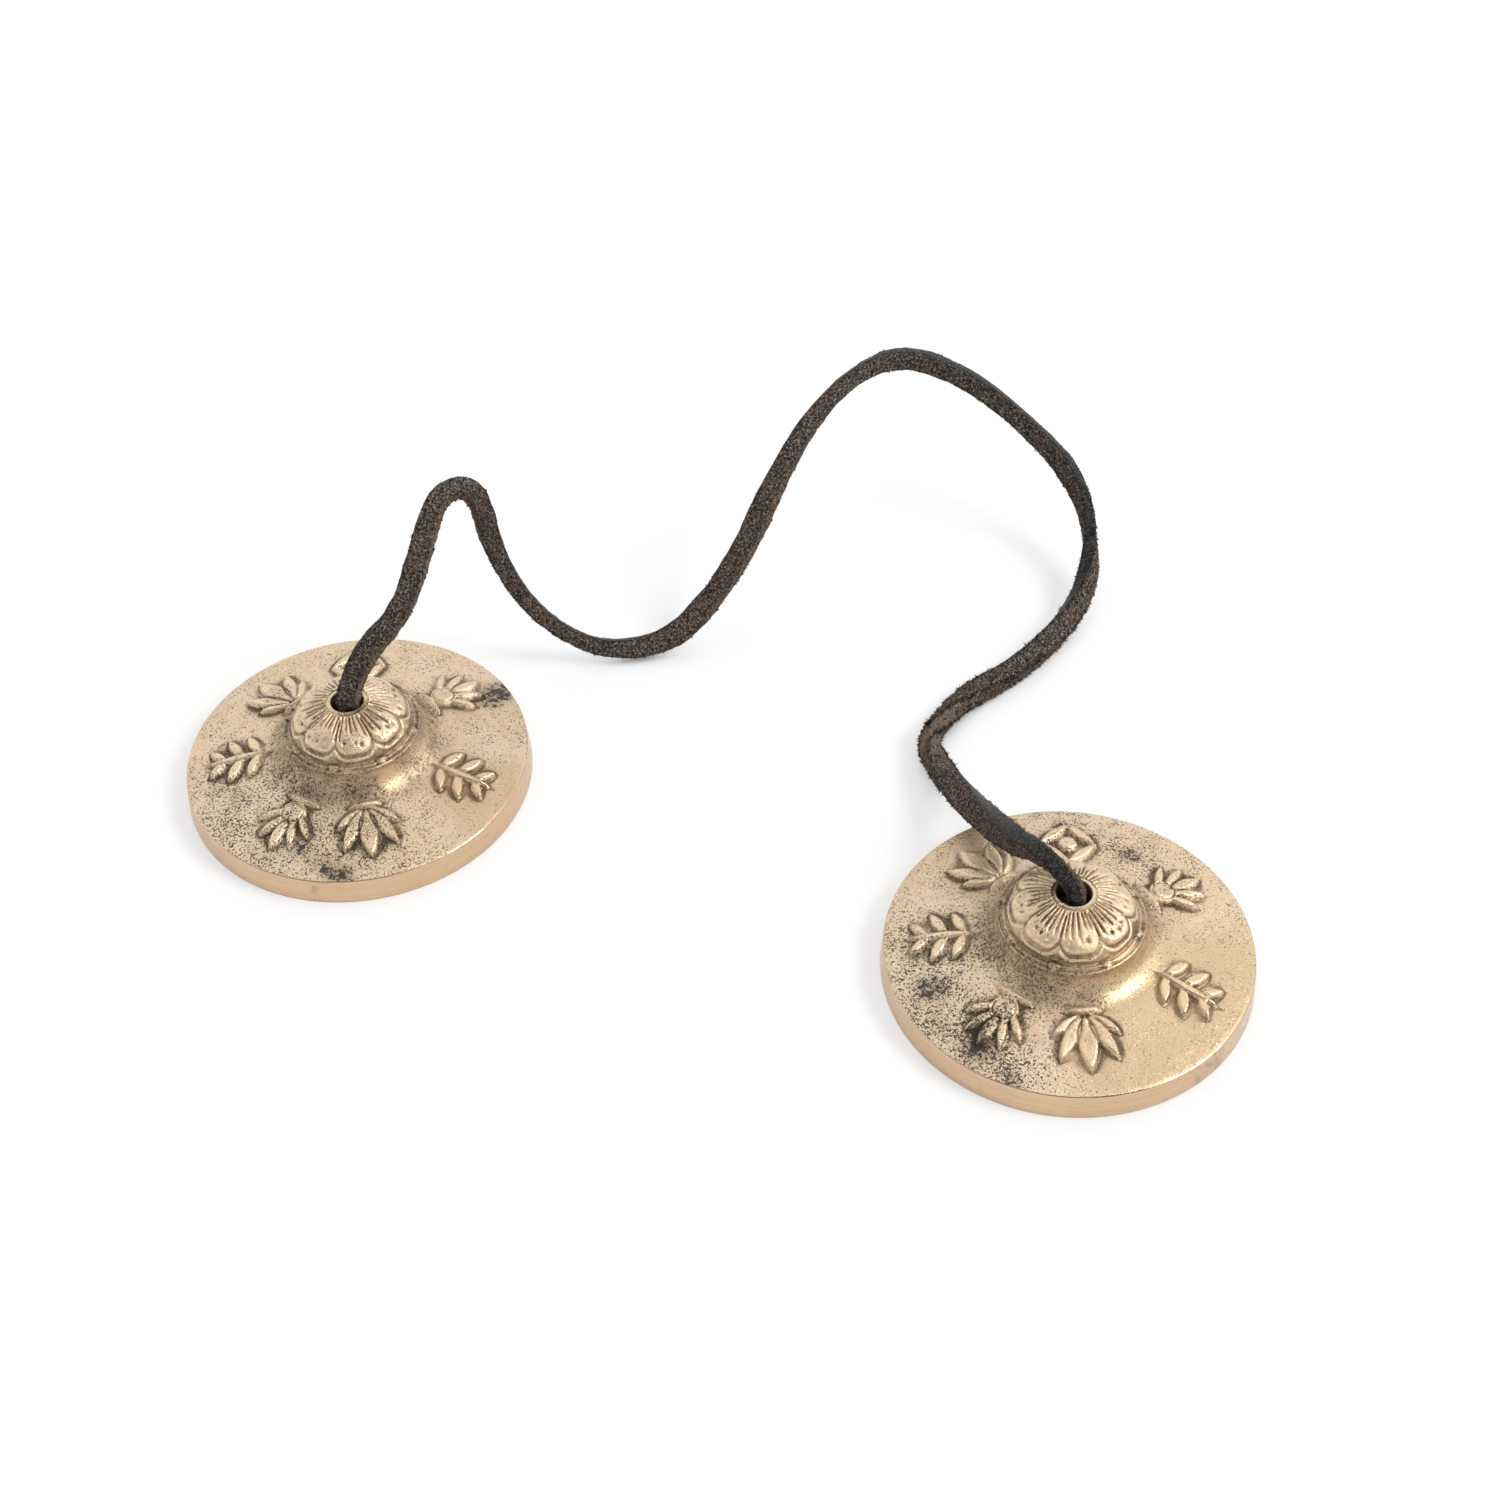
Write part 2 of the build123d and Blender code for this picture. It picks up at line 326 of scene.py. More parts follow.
# Forms whose outlines are cut into the tops of the ornaments, in the same order
CUT_LINES = (
    [leaf((0, -3.6), (0, 5.0), 3.0), *pair((0.5, -3.6), (4.2, 3.2), 2.2)],
    [leaf((0, -5.0), (0, 5.2), 1.3)],
    [dot((0, -1.6), 1.65), leaf((0, -0.4), (0, 5.2), 2.0)],
    [dot((0, 0), 1.4)],
)


def ornament_relief(r, angle):
    """Height of the raised ornaments: soft shoulders, cut lines and a thin sunk outline."""
    height = np.zeros_like(r)
    for number, centre in enumerate(ORNAMENT_ANGLES):
        off = angle - math.radians(centre)
        x = -r * np.sin(off) / ORNAMENT_UNIT
        y = (r * np.cos(off) - ORNAMENT_RING) / ORNAMENT_UNIT
        near = (np.abs(x) < 7) & (np.abs(y) < 7)
        gap = np.full_like(r, 9.0)
        pull = np.zeros(near.sum())
        for shape in ORNAMENTS[number % len(ORNAMENTS)]:
            pull += np.exp(-np.minimum(shape(x[near], y[near]), 5) / FUSE)
        gap[near] = -FUSE * np.log(pull) * ORNAMENT_UNIT
        share = np.clip(-gap / SHOULDER, 0, 1)
        height += ORNAMENT_HEIGHT * np.sqrt(1 - (1 - share) ** 2)
        height -= OUTLINE_DEPTH * bell(gap - 0.22, 0.2) * (gap > 0)
        inside = smoothstep(0.1, 0.4, -gap[near])
        for shape in CUT_LINES[number % len(ORNAMENTS)]:
            line = bell(shape(x[near], y[near]) * ORNAMENT_UNIT, CUT_WIDTH)
            height[near] -= CUT_DEPTH * line * inside
    return height


def dome_relief(r, angle, draw):
    """Blunt petals, flutes, pits and the scalloped ridge over the dome's plain ball."""
    pitch = 2 * math.pi / PETALS
    petal = np.floor((angle + pitch / 2) / pitch).astype(int) % PETALS
    off = (angle + pitch / 2) % pitch - pitch / 2
    x = np.maximum(r * np.cos(off) - PETAL_CENTRE, 0)
    y = r * np.sin(off)
    blunt = (x / PETAL_HALF_LENGTH) ** PETAL_POWER + np.abs(y / PETAL_HALF_WIDTH) ** PETAL_POWER
    gap = (blunt ** (1 / PETAL_POWER) - 1) * 3.4
    share = np.clip(-gap / 0.9, 0, 1)
    between = PETAL_RAISE * (1 - smoothstep(9.8, COLLAR_RADIUS - 0.1, r))
    height = between + (PETAL_STEP - between) * np.sqrt(1 - (1 - share) ** 2)
    inside = smoothstep(0.0, 0.5, share)
    height += PETAL_SWELL * (1 - np.clip(np.abs(y) / 3.0, 0, 1) ** 2) * smoothstep(6.5, 8.6, r) * inside
    crease = r * np.sin(pitch / 2 - np.abs(off))
    height -= CREASE_DEPTH * bell(crease, CREASE_WIDTH) * smoothstep(3.9, 5.2, r) * inside
    for flute in FLUTES:
        jitter = draw.uniform(-1.6, 1.6, PETALS)[petal]
        stop = (FLUTE_END + draw.uniform(-1.4, 0.7, PETALS))[petal]
        deep = (FLUTE_DEPTH + draw.uniform(-0.1, 0.1, PETALS))[petal]
        across = r * np.sin(off - np.radians(flute + jitter))
        window = smoothstep(3.6, 4.2, r) * (1 - smoothstep(stop - 1.2, stop, r))
        height -= deep * bell(across, 0.13 + 0.014 * r) * window
    for pit in PITS:
        turn = np.radians(pit + draw.uniform(-2.5, 2.5, PETALS))[petal]
        reach = (PIT_RING + draw.uniform(-0.35, 0.35, PETALS))[petal]
        deep = draw.uniform(0.1, 0.5, PETALS)[petal]
        distance = np.hypot(r * np.cos(off - turn) - reach, r * np.sin(off - turn))
        height -= deep * bell(distance, PIT_SIZE)
    ridge = bell(gap - SCALLOP_GAP, SCALLOP_WIDTH) * smoothstep(7.6, 8.8, r)
    return height + SCALLOP_HEIGHT * ridge


def ledge_relief(r, angle):
    """Two thin ridges and eight small buds on the ledge."""
    pitch = 2 * math.pi / PETALS
    off = angle % pitch - pitch / 2
    height = np.zeros_like(r)
    for ring, rise, width, wave in LEDGE_RIDGES:
        height += rise * bell(r - ring - wave * np.sin(5 * angle), width)
    distance = np.hypot(r * np.cos(off) - BUD_RING, r * np.sin(off))
    return height + BUD_HEIGHT * np.sqrt(np.clip(1 - (distance / BUD_RADIUS) ** 2, 0, 1))


def waviness(x, y, draw, size, count=14):
    """Smooth seeded unevenness, about one high."""
    total = np.zeros_like(x)
    for _ in range(count):
        way = draw.uniform(0, 2 * math.pi)
        length = size * draw.uniform(0.6, 1.8)
        phase = draw.uniform(0, 2 * math.pi)
        total += np.sin((x * math.cos(way) + y * math.sin(way)) * 2 * math.pi / length + phase)
    return total / math.sqrt(count / 2)


def box_blur(grid, rings, columns):
    """Mean over a window of the polar grid, wrapping round the axis."""
    padded = np.pad(grid, ((0, 0), (columns, columns)), mode="wrap")
    run = np.cumsum(np.pad(padded, ((0, 0), (1, 0))), axis=1)
    wide = 2 * columns + 1
    mean = (run[:, wide:] - run[:, :-wide]) / wide
    padded = np.pad(mean, ((rings, rings), (0, 0)), mode="edge")
    run = np.cumsum(np.pad(padded, ((1, 0), (0, 0))), axis=0)
    tall = 2 * rings + 1
    return (run[tall:] - run[:-tall]) / tall


def marks(x, y, spots):
    """Sum of soft patches, each at a row angle and radius with a size and strength."""
    total = np.zeros_like(x)
    for angle, radius, size, strength in spots:
        px = radius * math.cos(math.radians(angle))
        py = radius * math.sin(math.radians(angle))
        total += strength * np.exp(-((x - px) ** 2 + (y - py) ** 2) / size**2)
    return total


def stitch(fine, coarse):
    """Triangles between a fine ring and a coarse one with a quarter of its points."""
    faces = []
    for j in range(AROUND_UNDER):
        c0 = coarse + j
        c1 = coarse + (j + 1) % AROUND_UNDER
        f = [fine + (4 * j + k) % AROUND for k in range(5)]
        faces += [(c0, f[0], f[1]), (c0, f[1], f[2]), (c0, f[2], c1), (c1, f[2], f[3]), (c1, f[3], f[4])]
    return faces


def ring_faces(first, rings, around):
    """Quads between neighbouring rings."""
    i, j = np.meshgrid(np.arange(rings - 1), np.arange(around), indexing="ij")
    a = first + i * around + j
    b = first + i * around + (j + 1) % around
    return np.stack([a, b, b + around, a + around], axis=-1).reshape(-1, 4).tolist()


def tube_faces(rows, columns):
    """Faces of a tube of rings, closed at both ends."""
    faces = ring_faces(0, rows, columns)
    faces.append(tuple(range(columns - 1, -1, -1)))
    faces.append(tuple(range((rows - 1) * columns, rows * columns)))
    return faces


def cymbal(name, body, side, turn, speckles, stains_and_shade, rim_marks, seed):
    """One casting where it lies: relief on top, turned rim, striking ring and hollow dome below."""
    draw = np.random.default_rng(seed)
    profile = top_profile()
    ahead = np.gradient(profile, axis=0)
    normal = unit(np.stack([-ahead[:, 1], ahead[:, 0]], axis=1))
    angle = np.arange(AROUND) * 2 * math.pi / AROUND
    r = np.repeat(profile[:, :1], AROUND, axis=1)
    z = np.repeat(profile[:, 1:], AROUND, axis=1)
    a = np.repeat(angle[None, :], len(profile), axis=0)
    on_dome = (r > BORE_RADIUS + LIP_ROUND - 0.01) & (r < COLLAR_RADIUS - 0.01) & (z > COLLAR_TOP - 0.05)
    on_ledge = (r > COLLAR_RADIUS + 0.02) & (r < LEDGE_RADIUS - 0.02)
    on_ledge &= z > LEDGE_HEIGHT - LEDGE_FALL - 0.05
    on_face = (r > FOOT_RADIUS - 3.2) & (r < RIM_RADIUS - 0.3) & (z > 4.9)
    lift = np.zeros_like(r)
    lift[on_dome] = dome_relief(r[on_dome], a[on_dome], draw)
    lift[on_ledge] = ledge_relief(r[on_ledge], a[on_ledge])
    face_lift = ornament_relief(r, a)
    lift[on_face] += face_lift[on_face]
    row = a + math.radians(turn)
    uneven = waviness(r * np.cos(row), r * np.sin(row), draw, SKIN_WAVE) * SKIN_HEIGHT
    lift += uneven * smoothstep(COLLAR_RADIUS, FOOT_RADIUS, r) * smoothstep(0, 0.8, RIM_RADIUS - r)
    near = box_blur(box_blur(lift, 2, 3), 2, 3)
    wide = box_blur(box_blur(lift, 5, 8), 5, 8)
    recess = np.clip((0.75 * near + 0.25 * wide - lift) / RECESS_DEPTH, -1, 1)
    recess[(r < BORE_RADIUS + LIP_ROUND + 0.15) & (z > MOUTH - LIP_SOFT)] = -1
    off_flank = smoothstep(16.4, 18.6, r)
    recess = np.where(on_face, np.minimum(recess, 0.25 + 0.75 * off_flank), recess)
    halo = np.clip((box_blur(box_blur(lift, 6, 7), 6, 7) - 0.6 * lift) / HALO_DEPTH, 0, 1) * off_flank
    # Dirt and painted shade: darker round the ornaments, on the ledge and in bands on the flank, the band
    # under the ledge's edge being painted shade
    foot = sum(share * bell(r - ring, width) for ring, width, share in FLANK_DIRT_AND_SHADE)
    foot = foot * (z > FOOT_HEIGHT - 0.3)
    grime_and_shade = np.clip(HALO_DARKENING * halo * on_face + FOOT_DIRT_AND_SHADE * foot + LEDGE_DIRT * on_ledge, 0, 1)
    rr = r + normal[:, :1] * lift
    zz = z + normal[:, 1:] * lift
    top = np.stack([rr * np.cos(row), rr * np.sin(row), zz], axis=-1).reshape(-1, 3)

    under = under_profile()
    row_under = np.arange(AROUND_UNDER) * 2 * math.pi / AROUND_UNDER + math.radians(turn)
    ru = np.repeat(under[:, :1], AROUND_UNDER, axis=1)
    zu = np.repeat(under[:, 1:], AROUND_UNDER, axis=1)
    au = np.repeat(row_under[None, :], len(under), axis=0)
    rough = waviness(ru * np.cos(au) + 2 * zu, ru * np.sin(au) - zu, draw, HOLLOW_WAVE)
    zu = zu + HOLLOW_HEIGHT * rough * smoothstep(0.5, 2.0, zu) * (1 - smoothstep(14.5, 16, zu))
    below = np.stack([ru * np.cos(au), ru * np.sin(au), zu], axis=-1).reshape(-1, 3)

    verts = np.concatenate([top, below])
    rings = len(profile)
    first_under = rings * AROUND
    faces = ring_faces(0, rings, AROUND)
    faces += ring_faces(first_under, len(under), AROUND_UNDER)
    faces += stitch((rings - 1) * AROUND, first_under)
    faces += stitch(0, first_under + (len(under) - 1) * AROUND_UNDER)
    placed = verts + np.array([side * SPACING / 2, 0, 0])
    obj = new_object(name, placed * MM, faces)
    outward(obj)

    x, y, height = verts.T
    flat_r = np.hypot(x, y)
    is_top = np.arange(len(verts)) < first_under
    plain = np.zeros(len(below))
    wear = marks(x, y, speckles)
    clean = 1 - POLISH_CLEANS * np.clip(-wear / POLISH_FULL, 0, 1)
    turned_side = (flat_r > RIM_RADIUS - 0.12) & is_top
    turned_below = (~is_top) & (height < 0.05)
    fields = {
        "recess": np.concatenate([recess.ravel(), plain]),
        "grime_and_shade": np.concatenate([grime_and_shade.ravel(), plain]) * clean,
        "reach": flat_r * MM,
        "turned": np.where(turned_side | turned_below, 1.0, 0.0),
        "hollow": np.where((~is_top) & (height > 0.3), 1.0, 0.0),
        "speckle": np.where(is_top, np.clip(wear + BASE_SPECKLE, 0, 1.3), UNDER_SPECKLE),
        "stain_and_shade": marks(x, y, stains_and_shade),
        "rim_mark": marks(x, y, rim_marks),
    }
    for field, values in fields.items():
        put_attribute(obj, field, values)
    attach(obj, body)
    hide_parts(body)
    return obj


# Dense casting pits and dark patches: row angle, radius, size and strength. The dark patches on the face
# are stains; those low on the flank's front are painted shade.
BASE_SPECKLE = 0.42
LEFT_SPECKLES = (
    (-150, 26, 9, 0.2), (-124, 26, 9, 0.5), (-95, 26, 9, 0.55), (-62, 27, 8, 0.5),
    (-40, 24, 8, 0.3), (172, 24, 10, 0.1), (100, 24, 14, 0.1), (25, 27, 6, 0.3),
    (-110, 16, 8, 0.2), (-4, 28, 11, -0.4), (-34, 14.2, 2.8, -0.4), (-84, 15.0, 4.0, -0.25),
)
RIGHT_SPECKLES = (
    (-156, 27, 8, 0.5), (-130, 26, 9, 0.65), (-105, 28, 8, 0.7), (-88, 31, 5, 0.5),
    (80, 24, 9, 0.5), (108, 28, 6, 0.4), (45, 26, 8, 0.15), (-48, 28, 12, -0.4),
    (-4, 26, 14, -0.35), (-36, 14.8, 3.0, -0.42),
)
# Left dark patches: stains on the face; the last two, low on the flank's front, are painted shade
LEFT_STAINS_AND_SHADE = (
    (53, 30.8, 4.0, 0.95), (50, 27.0, 3.4, 0.6), (-68, 31, 3.2, 0.95), (-86, 26.5, 3.0, 0.7),
    (-128, 24.5, 2.8, 0.6), (-138, 28, 2.6, 0.6), (-76, 28.5, 3.4, 0.5), (-150, 31, 2.0, 0.4),
    (-63, 13.5, 2.0, 0.45), (-88, 14.6, 2.0, 0.4),
)
# Right dark patches: stains on the face; the last three, low on the flank's front, are painted shade
RIGHT_STAINS_AND_SHADE = (
    (-106, 28.6, 3.8, 1.0), (-92, 31.3, 2.8, 0.8), (-137, 26.7, 4.0, 0.9), (-122, 29.5, 3.0, 0.5),
    (78, 23.5, 3.4, 0.8), (109, 28, 2.6, 0.8), (-155, 28, 3.0, 0.5), (-112, 24, 2.4, 0.5),
    (-80, 13.6, 2.4, 0.5), (-102, 14.2, 2.2, 0.4), (-122, 16.0, 2.4, 0.5),
)
LEFT_RIM_MARKS = ((-77, 32.7, 1.2, 0.6),)
RIGHT_RIM_MARKS = ((-26, 32.8, 2.2, 0.9), (-33, 32.8, 1.4, 0.5))

left_cymbal = cymbal("left_cymbal_cast", "left_cymbal", -1, LEFT_TURN, LEFT_SPECKLES, LEFT_STAINS_AND_SHADE,
                     LEFT_RIM_MARKS, SEED)
right_cymbal = cymbal("right_cymbal_cast", "right_cymbal", 1, RIGHT_TURN, RIGHT_SPECKLES, RIGHT_STAINS_AND_SHADE,
                      RIGHT_RIM_MARKS, SEED + 1)

# Thong: the solid's route with the ways down both bores added. Each point holds its place, the turn of
# the smooth side from the camera's side in degrees, and the share of the full section at that point
LEFT_AXIS = -SPACING / 2
RIGHT_AXIS = SPACING / 2
STRAP_POINTS = (
    (LEFT_AXIS, 0.0, 13.6, 105, 0.90),
    (LEFT_AXIS, 0.0, 17.0, 105, 0.90),
    (LEFT_AXIS + 0.2, 0.1, 20.2, 105, 0.90),
    (-68.6, 1.5, 24.6, 105, 0.90),
    (-66.0, 4.0, 30.5, 105, 0.92),
    (-61.0, 9.0, 36.5, 102, 0.86),
    (-59.5, 14.5, 43.5, 100, 0.90),
    (-59.5, 20.0, 48.5, 105, 0.90),
    (-59.3, 25.8, 52.0, 112, 0.81),
    (-56.5, 31.0, 51.0, 110, 0.81),
    (-55.5, 34.0, 44.0, 104, 0.87),
    (-56.0, 36.0, 33.5, 96, 0.86),
    (-53.0, 38.0, 20.5, 82, 0.69),
    (-47.5, 41.0, 9.5, 78, 0.62),
    (-38.5, 44.5, 2.6, 76, 0.68),
    (-27.0, 51.0, 2.6, 88, 1.02),
    (-20.5, 59.0, 9.5, 110, 0.95),
    (-16.0, 68.0, 18.5, 114, 1.00),
    (-14.0, 77.0, 26.5, 112, 0.96),
    (-11.0, 89.5, 34.0, 100, 0.81),
    (-6.0, 101.5, 38.5, 76, 0.70),
    (2.0, 111.5, 39.0, 66, 0.89),
    (14.5, 116.0, 32.5, 72, 0.87),
    (26.5, 116.0, 24.5, 76, 0.81),
    (38.0, 113.0, 17.0, 60, 0.88),
    (45.0, 105.5, 10.0, 14, 0.74),
    (48.0, 94.0, 4.5, -40, 0.92),
    (46.0, 81.0, 2.6, -92, 1.03),
    (41.0, 67.0, 2.6, -110, 0.92),
    (33.5, 56.0, 2.6, -138, 0.95),
    (31.0, 47.5, 2.6, -172, 1.04),
    (30.5, 41.5, 2.6, -206, 1.06),
    (35.5, 34.5, 3.8, -244, 1.04),
    (45.0, 22.5, 9.5, -288, 1.06),
    (55.5, 10.5, 17.0, -322, 1.00),
    (61.8, 4.7, 22.4, -345, 0.96),
    (66.3, 2.2, 22.3, -362, 0.90),
    (69.6, 0.6, 20.8, -370, 0.88),
    (RIGHT_AXIS + 0.9, 0.1, 17.2, -374, 0.86),
    (RIGHT_AXIS + 0.6, 0.0, 15.0, -374, 0.86),
    (RIGHT_AXIS, 0.0, 13.6, -374, 0.86),
)
STRAP_WIDTH = 4.6
STRAP_THICKNESS = 3.4
STRAP_CORNER = 0.75
REST_HEIGHT = 0.03
# Where the thong bunches up round in its sharp bend on the floor
KINK_PLACE = (31.2, 43.0, 2.6)
KINK_OVAL = (2.15, 2.0)
KINK_REACH = 9.0
# Reach of the painted highlight that lightens the suede round the sharp bend
KINK_HIGHLIGHT_REACH = 8.0
LEFT_SPLIT_HEIGHT = 30.0
RIGHT_SPLIT_RUN = 11.0
PIVOT_HEIGHT = 22.11
ROUTE_STEPS = 24
TUFTS = 4600


def spline_points(control, resolution):
    """Points in metres read from a smooth curve through the route's control points."""
    data = bpy.data.curves.new("route", "CURVE")
    data.dimensions = "3D"
    data.resolution_u = resolution
    spline = data.splines.new("NURBS")
    spline.points.add(len(control) - 1)
    for point, place in zip(spline.points, control):
        point.co = (place[0] * MM, place[1] * MM, place[2] * MM, 1)
    spline.order_u = 3
    spline.use_endpoint_u = True
    holder = bpy.data.objects.new("route", data)
    scene.collection.objects.link(holder)
    bpy.context.view_layer.update()
    mesh = bpy.data.meshes.new_from_object(holder)
    places = np.zeros(len(mesh.vertices) * 3)
    mesh.vertices.foreach_get("co", places)
    bpy.data.meshes.remove(mesh)
    bpy.data.objects.remove(holder)
    bpy.data.curves.remove(data)
    return places.reshape(-1, 3)


def section_outline():
    """Rounded oblong round the thong's middle: place, outward way and share of a corner."""
    half = np.array([STRAP_WIDTH / 2, STRAP_THICKNESS / 2]) - STRAP_CORNER
    places, ways, corner = [], [], []
    for number, (sx, sy) in enumerate(((1, 1), (-1, 1), (-1, -1), (1, -1))):
        for step in range(6):
            turn = math.radians(90 * number + 15 + 12 * step)
            way = (math.cos(turn), math.sin(turn))
            places.append((sx * half[0] + STRAP_CORNER * way[0], sy * half[1] + STRAP_CORNER * way[1]))
            ways.append(way)
            corner.append(math.sin(math.pi * (step + 0.5) / 6))
        turn = math.radians(90 * (number + 1))
        way = (round(math.cos(turn)), round(math.sin(turn)))
        for share in (0.25, 0.5, 0.75):
            x = (sx * (1 - 2 * share) if way[0] == 0 else way[0]) * half[0]
            y = (sy * (1 - 2 * share) if way[1] == 0 else way[1]) * half[1]
            places.append((x + STRAP_CORNER * way[0], y + STRAP_CORNER * way[1]))
            ways.append(way)
            corner.append(0.0)
    return np.array(places), np.array(ways, float), np.array(corner)


route = spline_points(STRAP_POINTS, ROUTE_STEPS)
knot_count = len(STRAP_POINTS)
parameter = np.linspace(0, knot_count - 2, len(route))
station = np.concatenate([[0], np.arange(knot_count - 2) + 0.5, [knot_count - 2]])


def along_strap(column):
    """One of the points' values at each ring, eased from point to point."""
    plain = np.interp(parameter, station, [point[column] for point in STRAP_POINTS])
    reach = len(route) // (2 * knot_count)
    padded = np.pad(plain, reach, mode="edge")
    return np.convolve(padded, np.ones(2 * reach + 1) / (2 * reach + 1), mode="valid")


facing = np.radians(along_strap(3))
section_share = along_strap(4)
ahead = unit(np.gradient(route, axis=0))
to_camera = np.array(CAM_PLACE) - route
to_camera -= ahead * np.sum(to_camera * ahead, axis=1, keepdims=True)
to_camera = unit(to_camera)
leftward = np.cross(to_camera, ahead)
smooth_side = np.cos(facing)[:, None] * to_camera + np.sin(facing)[:, None] * leftward
flat_side = np.cross(ahead, smooth_side)
travelled = run_along(route)


def value_noise(rows, columns, step, draw):
    """Seeded smooth noise on the strap's grid, about one high, with a grain a few rows long."""
    coarse = draw.normal(size=(rows // step + 3, columns))
    at = np.arange(rows) / step
    low = at.astype(int)
    share = (at - low)[:, None]
    share = share * share * (3 - 2 * share)
    return coarse[low] * (1 - share) + coarse[low + 1] * share


def strap_grid():
    """All the strap's rings in metres, with each point's masks."""
    places, ways, corner = section_outline()
    rows = len(route)
    columns = len(places)
    draw = np.random.default_rng(SEED + 5)
    grain = smoothstep(0.55, 0.9, ways[:, 0])
    flesh = smoothstep(0.4, 0.85, -ways[:, 0])
    swell = 1 + 0.025 * value_noise(rows, 1, 22, draw) + 0.02 * value_noise(rows, 1, 8, draw)
    coarse = value_noise(rows, columns, 5, draw)
    fine = value_noise(rows, columns, 2, draw)
    suede = (1 - grain)[None, :]
    bumps = (0.05 * coarse + 0.055 * fine) * (0.25 + 0.75 * suede)
    bumps += 0.08 * value_noise(rows, columns, 3, draw) * corner[None, :]
    taper = section_share[:, None]
    turn = np.arctan2(places[:, 1] / STRAP_THICKNESS, places[:, 0] / STRAP_WIDTH)
    oval = np.stack([KINK_OVAL[0] * np.cos(turn), KINK_OVAL[1] * np.sin(turn)], axis=1)
    kink = np.argmin(np.linalg.norm(route - np.array(KINK_PLACE) * MM, axis=1))
    bunched = 0.9 * bell((travelled - travelled[kink]) / MM, KINK_REACH)[:, None, None]
    section = places[None] * (1 - bunched) + oval[None] * bunched
    across = (section[..., 0] * swell * taper + bumps * ways[None, :, 0]) * MM
    along = (section[..., 1] * swell * taper + bumps * ways[None, :, 1]) * MM
    rings = route[:, None] + across[..., None] * smooth_side[:, None]
    rings = rings + along[..., None] * flat_side[:, None]
    rings[..., 2] = np.maximum(rings[..., 2], REST_HEIGHT * MM)
    masks = {"grain": grain, "flesh": flesh, "corner": corner}
    masks = {name: np.repeat(mask[None], rows, 0) for name, mask in masks.items()}
    masks["run"] = np.repeat(travelled[:, None], columns, 1)
    # Painted highlight: lighter suede round the sharp bend
    masks["painted_kink_highlight"] = np.repeat(bell((travelled - travelled[kink]) / MM, KINK_HIGHLIGHT_REACH)[:, None], columns, 1)
    return rings, masks, ways


strap_rings, strap_masks, strap_ways = strap_grid()


def strap_piece(name, first, last):
    """Length of the thong between two rings."""
    rings = strap_rings[first : last + 1]
    obj = new_object(name, rings.reshape(-1, 3), tube_faces(*rings.shape[:2]))
    outward(obj)
    for mask, values in strap_masks.items():
        put_attribute(obj, mask, values[first : last + 1])
    return obj


left_split = int(np.argmax(route[:, 2] > LEFT_SPLIT_HEIGHT * MM))
right_pivot = np.array([RIGHT_AXIS, 0, PIVOT_HEIGHT]) * MM
pivot_ring = int(np.argmin(np.linalg.norm(route - right_pivot, axis=1)))
right_split = int(np.argmax(travelled > travelled[pivot_ring] - RIGHT_SPLIT_RUN * MM))
strap_middle = strap_piece("thong_middle", left_split, right_split)
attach(strap_middle, "strap")
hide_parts("strap")
left_end = strap_piece("thong_left_end", 0, left_split)
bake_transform(left_end)
right_end = strap_piece("thong_right_end", right_split, len(route) - 1)
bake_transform(right_end)


def fibres(name, first, last, tufts, seed):
    """Small tufts of leather fibre that stand out from the cut edges and the suede sides."""
    draw = np.random.default_rng(seed)
    verts, faces = [], []
    columns = strap_rings.shape[1]
    weight = (1 - strap_masks["grain"][0]) * (0.35 + strap_masks["corner"][0])
    weight /= weight.sum()
    share = np.linspace(0, 1, last - first - 8)
    ragged = 0.2 + 0.8 * bell(share - 0.82, 0.13) + 0.2 * bell(share - 0.36, 0.08)
    frayed = ragged / ragged.sum()
    for _ in range(tufts):
        step = int(draw.choice(len(share), p=frayed))
        row = first + 4 + step
        column = int(draw.choice(columns, p=weight))
        base = strap_rings[row, column]
        way = strap_ways[column, 0] * smooth_side[row] + strap_ways[column, 1] * flat_side[row]
        beside = np.cross(ahead[row], way)
        height = draw.uniform(0.25, 0.62 + 0.6 * draw.random() ** 3)
        height *= (0.5 + 0.75 * ragged[step]) * MM
        for _ in range(int(draw.integers(2, 5))):
            lean = ahead[row] * draw.normal(0, 0.6) + beside * draw.normal(0, 0.5)
            tip_way = way + lean
            tip_way /= np.linalg.norm(tip_way)
            side = np.cross(tip_way, ahead[row])
            side /= np.linalg.norm(side)
            other = np.cross(tip_way, side)
            width = draw.uniform(0.07, 0.14) * MM
            shift = ahead[row] * draw.normal(0, 0.12) + beside * draw.normal(0, 0.08)
            root = base - way * 0.15 * MM + shift * MM
            tip = root + tip_way * (height * draw.uniform(0.6, 1.0) + 0.15 * MM)
            if min(tip[2], root[2] - width) < REST_HEIGHT * MM:
                continue
            start = len(verts)
            for turn in (0, 2.094, 4.189):
                verts.append(root + width * (math.cos(turn) * side + math.sin(turn) * other))
            verts.append(tip)
            faces += [(start, start + 1, start + 3), (start + 1, start + 2, start + 3)]
            faces += [(start + 2, start, start + 3), (start + 2, start + 1, start)]
    obj = new_object(name, np.array(verts), faces, smooth=False)
    outward(obj)
    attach(obj, "strap")
    return obj


thong_fibres = fibres("thong_fibres", left_split, right_split, TUFTS, SEED + 7)


# Knots, millimetres: size, height and rise of the loop, share of the thong's section
KNOT_LOOP = 1.1
KNOT_HEIGHT = 13.0
KNOT_RISE = 1.5
KNOT_SECTION = 0.8
KNOT_MIDDLE = 12.2
KNOT_STEPS = 14


